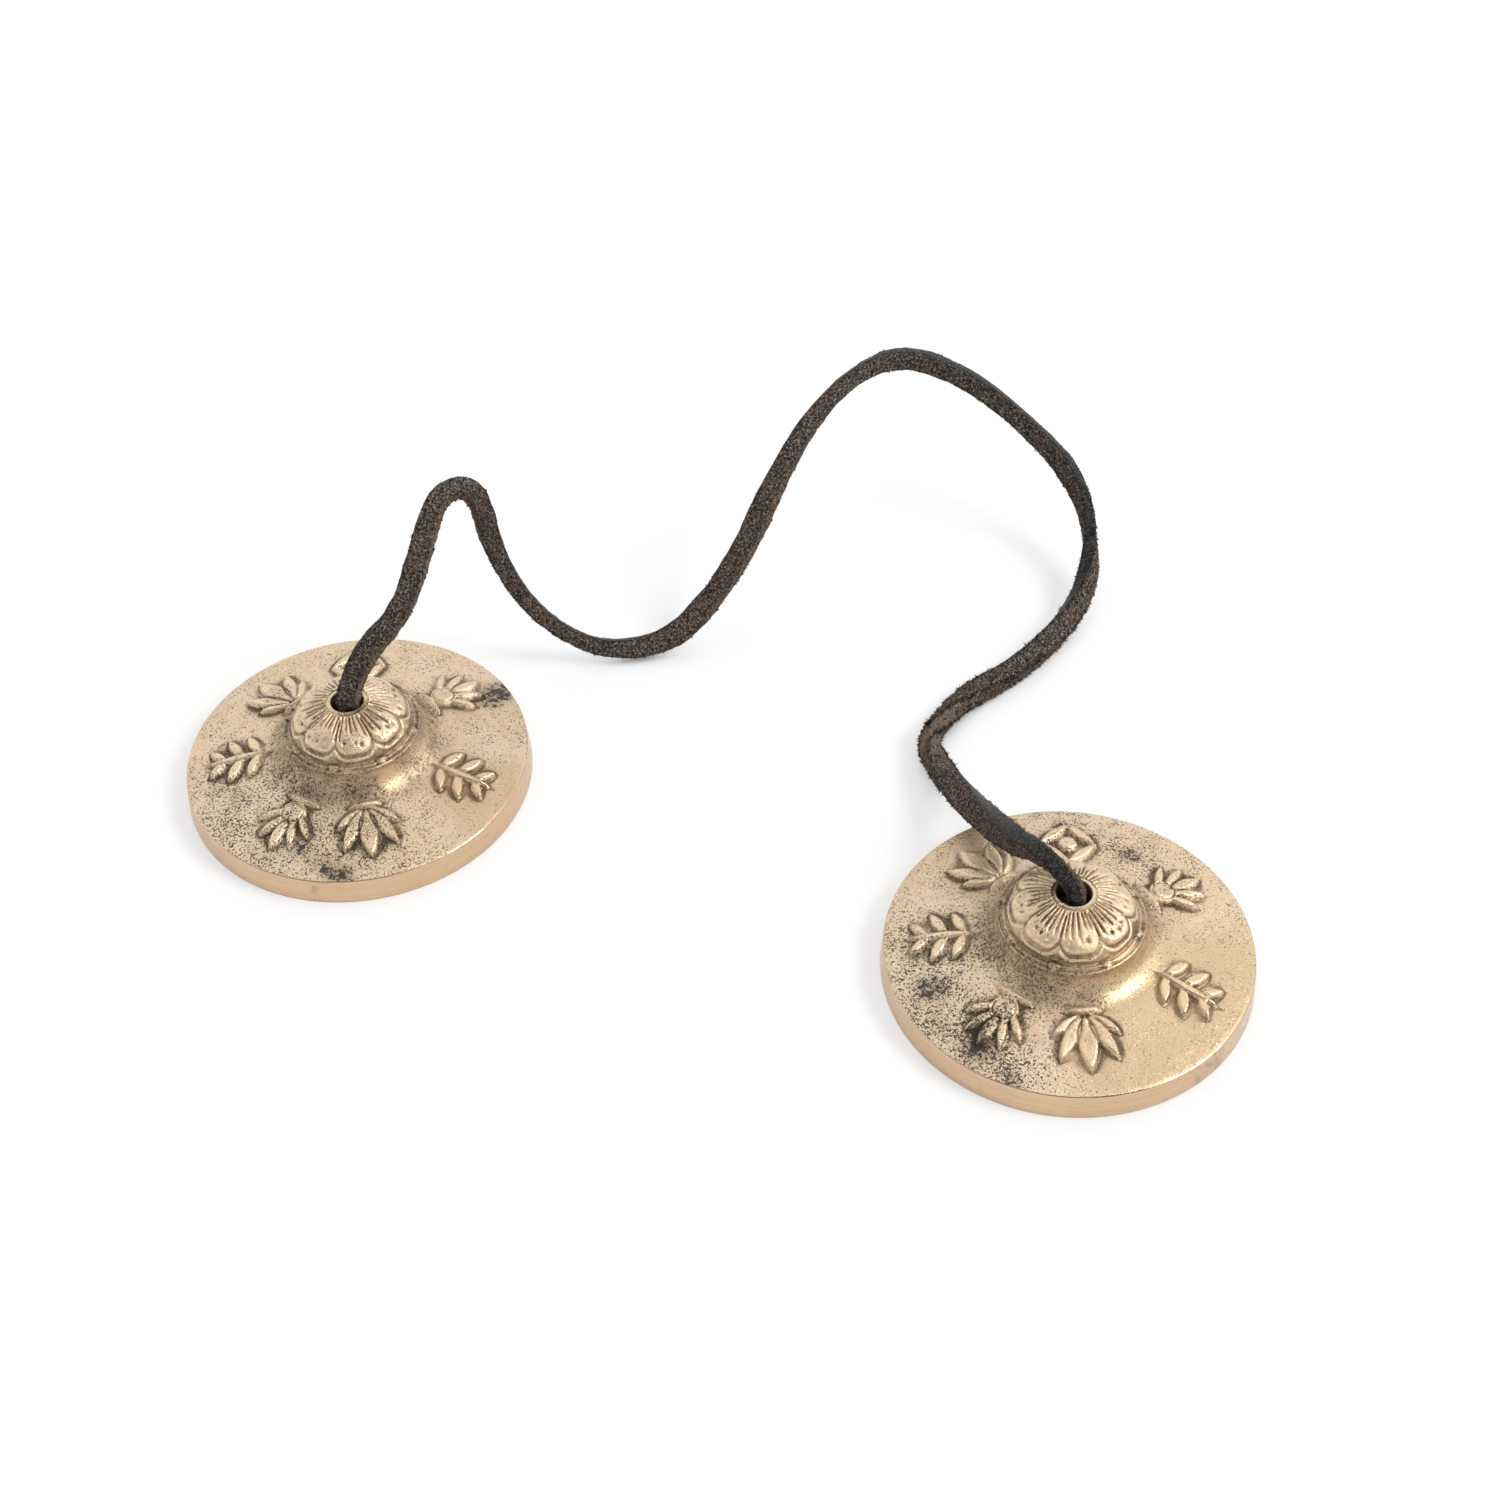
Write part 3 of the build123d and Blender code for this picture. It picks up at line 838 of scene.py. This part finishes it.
def knot(name, body, axis_x, toward):
    """Overhand knot that stops the thong inside a dome, with its short tail."""
    turn = math.radians(toward)
    points = [(0, 0, 17.2), (0, 0, 15.2)]
    for share in np.linspace(0.04, 0.9, 15):
        t = share * 2 * math.pi
        x = (math.sin(t) + 2 * math.sin(2 * t)) * KNOT_LOOP
        y = (math.cos(t) - 2 * math.cos(2 * t)) * KNOT_LOOP
        points.append((x, y, KNOT_HEIGHT - math.sin(3 * t) * KNOT_RISE))
    last = points[-1]
    points += [(last[0] * 0.6 + 5.0, last[1] * 0.5, 10.6), (8.4, last[1] * 0.3, 9.6)]
    control = []
    for x, y, z in points:
        across = axis_x + x * math.cos(turn) - y * math.sin(turn)
        control.append((across, x * math.sin(turn) + y * math.cos(turn), z))
    line = spline_points(control, KNOT_STEPS)
    way = unit(np.gradient(line, axis=0))
    centre = np.array([axis_x, 0, KNOT_MIDDLE]) * MM
    out = line - centre
    out -= way * np.sum(out * way, axis=1, keepdims=True)
    out /= np.maximum(np.linalg.norm(out, axis=1, keepdims=True), 1e-9)
    side = np.cross(way, out)
    places, ways, corner = section_outline()
    draw = np.random.default_rng(SEED + 9)
    rows, columns = len(line), len(places)
    bumps = 0.05 * value_noise(rows, columns, 2, draw)
    u = (places[None, :, 1] * KNOT_SECTION + bumps * ways[None, :, 1]) * MM
    v = (places[None, :, 0] * KNOT_SECTION + bumps * ways[None, :, 0]) * MM
    rings = line[:, None] + u[..., None] * out[:, None] + v[..., None] * side[:, None]
    obj = new_object(name, rings.reshape(-1, 3), tube_faces(rows, columns))
    outward(obj)
    put_attribute(obj, "grain", np.repeat(smoothstep(0.55, 0.9, ways[:, 0])[None], rows, 0))
    put_attribute(obj, "flesh", np.zeros((rows, columns)))
    put_attribute(obj, "corner", np.repeat(corner[None], rows, 0))
    put_attribute(obj, "run", np.repeat(run_along(line)[:, None], columns, 1))
    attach(obj, body)
    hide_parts(body)
    return obj


left_knot = knot("left_knot_tied", "left_knot", LEFT_AXIS, 200)
right_knot = knot("right_knot_tied", "right_knot", RIGHT_AXIS, 320)


class Nodes:
    """Short way to write a material's nodes."""

    def __init__(self, material):
        material.use_nodes = True
        self.tree = material.node_tree
        self.tree.nodes.clear()

    def add(self, kind, **settings):
        node = self.tree.nodes.new(kind)
        for key, value in settings.items():
            setattr(node, key, value)
        return node

    def link(self, source, target):
        self.tree.links.new(source, target)

    def put(self, socket, value):
        if isinstance(value, bpy.types.NodeSocket):
            self.link(value, socket)
        else:
            socket.default_value = value

    def math(self, kind, *values, clamp=False):
        node = self.add("ShaderNodeMath", operation=kind, use_clamp=clamp)
        for socket, value in zip(node.inputs, values):
            self.put(socket, value)
        return node.outputs[0]

    def times(self, first, second):
        return self.math("MULTIPLY", first, second)

    def between(self, value, low, high, to_low=0.0, to_high=1.0):
        node = self.add("ShaderNodeMapRange", interpolation_type="SMOOTHSTEP")
        for number, item in enumerate((value, low, high, to_low, to_high)):
            self.put(node.inputs[number], item)
        return node.outputs[0]

    def mix(self, share, first, second):
        node = self.add("ShaderNodeMix", data_type="RGBA", blend_type="MIX")
        for socket, value in zip((node.inputs[0], node.inputs[6], node.inputs[7]), (share, first, second)):
            self.put(socket, value)
        return node.outputs[2]

    def noise(self, place, scale, detail=2.0, rough=0.5):
        node = self.add("ShaderNodeTexNoise")
        self.link(place, node.inputs["Vector"])
        node.inputs["Scale"].default_value = scale
        node.inputs["Detail"].default_value = detail
        node.inputs["Roughness"].default_value = rough
        return node.outputs["Fac"]

    def attribute(self, name):
        return self.add("ShaderNodeAttribute", attribute_name=name).outputs["Fac"]

    def place(self, scale=(1, 1, 1)):
        where = self.add("ShaderNodeTexCoord").outputs["Object"]
        mapping = self.add("ShaderNodeMapping")
        self.link(where, mapping.inputs["Vector"])
        mapping.inputs["Scale"].default_value = scale
        return mapping.outputs["Vector"]

    def surface(self, **values):
        shader = self.add("ShaderNodeBsdfPrincipled")
        for name, value in values.items():
            self.put(shader.inputs[name.replace("_", " ")], value)
        out = self.add("ShaderNodeOutputMaterial")
        self.link(shader.outputs[0], out.inputs["Surface"])

    def bump(self, height, strength, distance, under=None):
        node = self.add("ShaderNodeBump")
        self.link(height, node.inputs["Height"])
        node.inputs["Strength"].default_value = strength
        node.inputs["Distance"].default_value = distance
        if under is not None:
            self.link(under, node.inputs["Normal"])
        return node.outputs["Normal"]


# Bronze, linear colours
PALE_BRONZE = (0.84, 0.66, 0.45, 1)
ROSY_BRONZE = (0.85, 0.69, 0.51, 1)
POLISHED_BRONZE = (0.69, 0.505, 0.305, 1)
MOTTLED_BRONZE = (0.60, 0.44, 0.29, 1)
WORN_BRONZE = (0.90, 0.71, 0.47, 1)
DIRT_AND_SHADE = (0.33, 0.24, 0.17, 1)
STAIN_AND_SHADE = (0.33, 0.25, 0.18, 1)
SUNK_BRONZE = (0.13, 0.085, 0.05, 1)
HOLLOW_BRONZE = (0.36, 0.25, 0.16, 1)
PIT_DARK = (0.040, 0.031, 0.023, 1)
RIM_BRONZE = (0.685, 0.475, 0.30, 1)
RIM_LINE = (0.50, 0.34, 0.21, 1)
RIM_STAIN = (0.16, 0.13, 0.10, 1)


def bronze_material():
    """Pale cast bronze: sandy pitted skin, worn relief, dark recesses, turning marks on the rim, and dirt,
    stains and painted shade on the flank and face.
    """
    material = bpy.data.materials.new("cast_bronze")
    n = Nodes(material)
    place = n.place()
    recess = n.attribute("recess")
    grime_and_shade = n.attribute("grime_and_shade")
    density = n.attribute("speckle")
    stain_and_shade = n.attribute("stain_and_shade")
    rim_mark = n.attribute("rim_mark")
    turned = n.attribute("turned")
    hollow = n.attribute("hollow")
    cast = n.math("SUBTRACT", 1.0, turned)
    tone = n.noise(place, 55.0, 3.0, 0.55)
    mottle = n.noise(place, 420.0, 4.0, 0.65)
    cloud = n.noise(place, 170.0, 3.0, 0.6)
    colour = n.mix(n.between(tone, 0.38, 0.64), PALE_BRONZE, ROSY_BRONZE)
    colour = n.mix(n.between(density, 0.15, 0.55, 0.8, 0.0), colour, POLISHED_BRONZE)
    colour = n.mix(n.times(n.between(mottle, 0.45, 0.7), 0.3), colour, MOTTLED_BRONZE)
    worn = n.between(n.times(recess, -1.0), 0.1, 0.9)
    colour = n.mix(n.times(worn, 0.6), colour, WORN_BRONZE)
    # Dirt with painted shade: darker on the flank, on the ledge and round the ornaments
    dirt_and_shade = n.times(grime_and_shade, n.between(cloud, 0.34, 0.6, 0.25, 1.0))
    colour = n.mix(n.times(dirt_and_shade, 0.62), colour, DIRT_AND_SHADE)
    # Stains on the face, and painted shade low on the flank's front
    colour = n.mix(n.between(stain_and_shade, 0.2, 1.0, 0.0, 0.6), colour, STAIN_AND_SHADE)
    sunk = n.times(n.between(recess, 0.05, 0.6), n.between(cloud, 0.34, 0.6, 0.35, 1.0))
    colour = n.mix(n.times(sunk, 0.82), colour, SUNK_BRONZE)
    grain = n.noise(place, 2700.0, 1.5, 0.6)
    coarse = n.noise(place, 1550.0, 2.0, 0.6)
    crowd = n.math("ADD", density, n.times(grime_and_shade, 0.7))
    crowd = n.math("ADD", crowd, n.between(cloud, 0.35, 0.65, -0.3, 0.3))
    crowd = n.math("SUBTRACT", crowd, n.times(worn, 0.4))
    limit = n.math("SUBTRACT", 0.655, n.times(crowd, 0.105))
    pits = n.between(n.math("SUBTRACT", grain, limit), 0.0, 0.02)
    wide_limit = n.math("SUBTRACT", 0.73, n.times(crowd, 0.10))
    wide_pits = n.between(n.math("SUBTRACT", coarse, wide_limit), 0.0, 0.02)
    pits = n.math("MAXIMUM", n.times(pits, n.between(density, 0.2, 1.0, 0.6, 0.95)), wide_pits)
    vein = n.math("ABSOLUTE", n.math("SUBTRACT", n.noise(place, 520.0, 4.0, 0.7), 0.5))
    cracks = n.times(n.between(vein, 0.004, 0.024, 1.0, 0.0), n.between(grime_and_shade, 0.3, 0.8))
    pits = n.math("MAXIMUM", pits, n.times(cracks, n.between(grain, 0.42, 0.58, 0.2, 0.9)))
    broken = n.noise(place, 800.0, 5.0, 0.75)
    # Dark blots inside those patches: stains on the face, painted shade on the flank's front
    blot = n.math("SUBTRACT", broken, n.between(stain_and_shade, 0.1, 1.0, 0.68, 0.46))
    stain_and_shade_blots = n.times(n.between(blot, 0.0, 0.03), n.between(stain_and_shade, 0.08, 0.3))
    dark = n.times(n.math("MAXIMUM", pits, stain_and_shade_blots), cast)
    stained_rim = n.times(n.between(rim_mark, 0.1, 0.9), n.between(broken, 0.42, 0.58))
    stained_rim = n.times(stained_rim, turned)
    dull = n.times(hollow, n.between(cloud, 0.35, 0.65, 0.5, 0.75))
    colour = n.mix(dull, colour, HOLLOW_BRONZE)
    colour = n.mix(n.times(dark, 0.93), colour, PIT_DARK)
    streak = n.noise(n.place((110.0, 110.0, 5200.0)), 1.0, 3.0, 0.6)
    reach = n.add("ShaderNodeCombineXYZ")
    n.put(reach.inputs[0], n.times(n.attribute("reach"), 5200.0))
    lathe = n.noise(reach.outputs[0], 1.0, 2.0, 0.6)
    lines = n.times(n.math("ADD", streak, n.times(lathe, 0.4)), turned)
    colour = n.mix(n.times(turned, 0.9), colour, RIM_BRONZE)
    colour = n.mix(n.times(n.between(lines, 0.60, 0.84), 0.28), colour, RIM_LINE)
    colour = n.mix(n.times(stained_rim, 0.5), colour, RIM_STAIN)
    rough = n.between(mottle, 0.3, 0.7, 0.34, 0.50)
    matt = n.math("MAXIMUM", dark, n.times(grime_and_shade, 0.5))
    rough = n.math("ADD", rough, n.times(matt, 0.25))
    rough = n.math("SUBTRACT", rough, n.times(worn, 0.12))
    rough = n.math("SUBTRACT", rough, n.between(density, 0.0, 0.4, 0.13, 0.0))
    rough = n.math("SUBTRACT", rough, n.times(turned, 0.2), clamp=True)
    skin = n.noise(place, 2500.0, 3.0, 0.65)
    height = n.times(n.math("SUBTRACT", skin, n.times(pits, 0.7)), cast)
    height = n.times(height, n.between(density, 0.0, 0.4, 0.6, 1.0))
    normal = n.bump(height, 0.7, 0.00026)
    normal = n.bump(lines, 0.6, 0.00014, normal)
    metal = n.math("SUBTRACT", 1.0, n.times(dark, 0.7))
    n.surface(Base_Color=colour, Roughness=rough, Metallic=metal, Normal=normal)
    return material


# Leather, linear colours and shine
SUEDE_GREY = (0.080, 0.067, 0.058, 1)
SUEDE_BROWN = (0.108, 0.079, 0.058, 1)
FLESH_BROWN = (0.26, 0.155, 0.09, 1)
NAP_PALE = (0.34, 0.28, 0.23, 1)
TUFT_DARK = (0.014, 0.012, 0.011, 1)
PAINTED_KINK_HIGHLIGHT = (0.27, 0.205, 0.15, 1)
WORN_EDGE = (0.30, 0.22, 0.16, 1)
SLICK_BLACK = (0.007, 0.007, 0.0075, 1)
SLICK_GREY = (0.085, 0.081, 0.077, 1)
# Pale flecks on the smooth side are painted glints
SLICK_GLINT = (0.17, 0.165, 0.16, 1)
FIBRE_DARK = (0.034, 0.029, 0.025, 1)
FIBRE_PALE = (0.12, 0.092, 0.07, 1)
LEATHER_SHINE = 0.2
FIBRE_ROUGH = 0.95


def leather_material():
    """Dark speckled suede with a smooth, nearly black side and a browner flesh side, a painted highlight
    round the sharp bend and painted glints on the smooth side.
    """
    material = bpy.data.materials.new("thong_leather")
    n = Nodes(material)
    place = n.place()
    grain = n.attribute("grain")
    flesh = n.attribute("flesh")
    corner = n.attribute("corner")
    nap = n.noise(place, 2700.0, 2.0, 0.7)
    tuft = n.noise(place, 2000.0, 2.0, 0.6)
    tone = n.noise(place, 80.0, 3.0, 0.6)
    suede = n.mix(n.between(tone, 0.36, 0.66), SUEDE_GREY, SUEDE_BROWN)
    raw = n.times(flesh, n.between(tone, 0.40, 0.60, 0.3, 1.0))
    suede = n.mix(n.times(raw, 0.75), suede, FLESH_BROWN)
    suede = n.mix(n.between(nap, 0.50, 0.62), suede, NAP_PALE)
    suede = n.mix(n.between(tuft, 0.40, 0.55, 0.88, 0.0), suede, TUFT_DARK)
    # Painted highlight round the sharp bend
    suede = n.mix(n.times(n.attribute("painted_kink_highlight"), 0.5), suede, PAINTED_KINK_HIGHLIGHT)
    worn = n.times(n.between(corner, 0.7, 1.0), n.between(nap, 0.42, 0.6))
    suede = n.mix(n.times(worn, 0.4), suede, WORN_EDGE)
    stretched = n.add("ShaderNodeVectorMath", operation="ADD")
    way = n.add("ShaderNodeCombineXYZ")
    n.put(way.inputs[0], n.times(n.attribute("run"), 2.2))
    n.link(place, stretched.inputs[0])
    n.link(way.outputs[0], stretched.inputs[1])
    crease = n.noise(stretched.outputs[0], 1150.0, 4.0, 0.72)
    slick = n.mix(n.between(crease, 0.46, 0.64), SLICK_BLACK, SLICK_GREY)
    # Painted glints: pale flecks on the smooth side
    slick = n.mix(n.between(nap, 0.56, 0.66, 0.0, 0.7), slick, SLICK_GLINT)
    colour = n.mix(grain, suede, slick)
    rough = n.between(grain, 0.0, 1.0, 0.92, 0.42)
    height = n.math("ADD", nap, n.times(tuft, 1.4))
    height = n.times(height, n.between(grain, 0.0, 1.0, 1.0, 0.25))
    height = n.math("ADD", height, n.times(crease, n.times(grain, 2.4)))
    normal = n.bump(height, 0.8, 0.0004)
    n.surface(Base_Color=colour, Roughness=rough, Normal=normal, Specular_IOR_Level=LEATHER_SHINE)
    return material


def fibre_material():
    """Loose fibres, a little paler than the suede they stand on."""
    material = bpy.data.materials.new("thong_fibre")
    n = Nodes(material)
    tone = n.noise(n.place(), 300.0, 2.0, 0.5)
    colour = n.mix(n.between(tone, 0.35, 0.65), FIBRE_DARK, FIBRE_PALE)
    n.surface(Base_Color=colour, Roughness=FIBRE_ROUGH, Specular_IOR_Level=LEATHER_SHINE)
    return material


bronze = bronze_material()
leather = leather_material()
fibre = fibre_material()
for obj in (left_cymbal, right_cymbal):
    obj.data.materials.append(bronze)
for obj in (strap_middle, left_end, right_end, left_knot, right_knot):
    obj.data.materials.append(leather)
thong_fibres.data.materials.append(fibre)


# Floor, metres: its lift to white near and far, and how far a cover over it is felt, where the lift fades
# to a painted shade
FLOOR_GREY = (0.48, 0.48, 0.48, 1)
FLOOR_LIFT = 0.55
FAR_FLOOR_LIFT = 0.85
FLOOR_HALF = 30.0
FLOOR_DROP = -0.00005
COVER_REACH = 0.04
LIFT_NEAR = 0.4
LIFT_FAR = 2.0
COVER_SAMPLES = 5


def floor_material():
    """Plain pale floor that keeps the shadows. Where it lies open, a lift makes it white; under and right
    beside the things on it the lift fades, which paints shade there.
    """
    material = bpy.data.materials.new("floor_white")
    n = Nodes(material)
    diffuse = n.add("ShaderNodeBsdfDiffuse")
    diffuse.inputs["Color"].default_value = FLOOR_GREY
    path = n.add("ShaderNodeLightPath")
    seen = n.math("MAXIMUM", path.outputs["Is Camera Ray"], path.outputs["Is Glossy Ray"])
    seen = n.math("MAXIMUM", seen, path.outputs["Is Transmission Ray"])
    where = n.add("ShaderNodeTexCoord").outputs["Object"]
    # Painted shade: the lift fades where something covers the floor
    cover = n.add("ShaderNodeAmbientOcclusion", samples=COVER_SAMPLES)
    cover.inputs["Distance"].default_value = COVER_REACH
    open_floor = n.between(cover.outputs["AO"], 0.02, 0.5)
    from_middle = n.add("ShaderNodeVectorMath", operation="LENGTH")
    n.link(where, from_middle.inputs[0])
    lift = n.between(from_middle.outputs["Value"], LIFT_NEAR, LIFT_FAR, FLOOR_LIFT, FAR_FLOOR_LIFT)
    glow = n.add("ShaderNodeEmission")
    n.put(glow.inputs["Strength"], n.times(n.times(seen, lift), open_floor))
    both = n.add("ShaderNodeAddShader")
    n.link(diffuse.outputs[0], both.inputs[0])
    n.link(glow.outputs[0], both.inputs[1])
    out = n.add("ShaderNodeOutputMaterial")
    n.link(both.outputs[0], out.inputs["Surface"])
    return material


corner_ways = ((-1, -1), (1, -1), (1, 1), (-1, 1))
floor_corners = [(x * FLOOR_HALF, y * FLOOR_HALF, FLOOR_DROP) for x, y in corner_ways]
floor = new_object("floor", floor_corners, [(0, 1, 2, 3)], smooth=False)
floor.data.materials.append(floor_material())

# Room and key lamp: away from the camera's side, the room's two tones, and the lamp's place and power
BACK_WAY = Vector((CAM_FORWARD.x, CAM_FORWARD.y, 0)).normalized()
ROOM_WHITE = (1.0, 1.0, 1.0, 1)
ROOM_DARK = (0.20, 0.20, 0.205, 1)
KEY_WAY = CAM_RIGHT * 0.70 - BACK_WAY * 0.18 + Vector((0, 0, 0.72))
KEY_DISTANCE = 3.0
KEY_SIZE = 1.1
KEY_WATTS = 46.0


def studio_world():
    """Soft studio room: white low down and behind the object, darker high up on the camera's side."""
    world = bpy.data.worlds.new("studio")
    n = Nodes(world)
    direction = n.add("ShaderNodeTexCoord").outputs["Generated"]
    facing_back = n.add("ShaderNodeVectorMath", operation="DOT_PRODUCT")
    n.link(direction, facing_back.inputs[0])
    facing_back.inputs[1].default_value = BACK_WAY
    height = n.add("ShaderNodeSeparateXYZ")
    n.link(direction, height.inputs[0])
    front = n.between(facing_back.outputs["Value"], -0.65, 0.35, 1.0, 0.0)
    dark = n.times(front, n.between(height.outputs[2], 0.2, 0.4))
    shade = n.mix(dark, ROOM_WHITE, ROOM_DARK)
    background = n.add("ShaderNodeBackground")
    n.link(shade, background.inputs["Color"])
    out = n.add("ShaderNodeOutputWorld")
    n.link(background.outputs[0], out.inputs["Surface"])
    return world


scene.world = studio_world()


def softbox(name, place, aim, size, watts):
    """Square area lamp that faces a point."""
    data = bpy.data.lights.new(name, "AREA")
    data.shape = "SQUARE"
    data.size = size
    data.energy = watts
    lamp = bpy.data.objects.new(name, data)
    way = Vector(aim) - Vector(place)
    turn = way.to_track_quat("-Z", "Y").to_matrix().to_4x4()
    lamp.matrix_world = Matrix.Translation(Vector(place)) @ turn
    scene.collection.objects.link(lamp)


softbox("key", LOOK_AT + KEY_WAY.normalized() * KEY_DISTANCE, LOOK_AT, KEY_SIZE, KEY_WATTS)
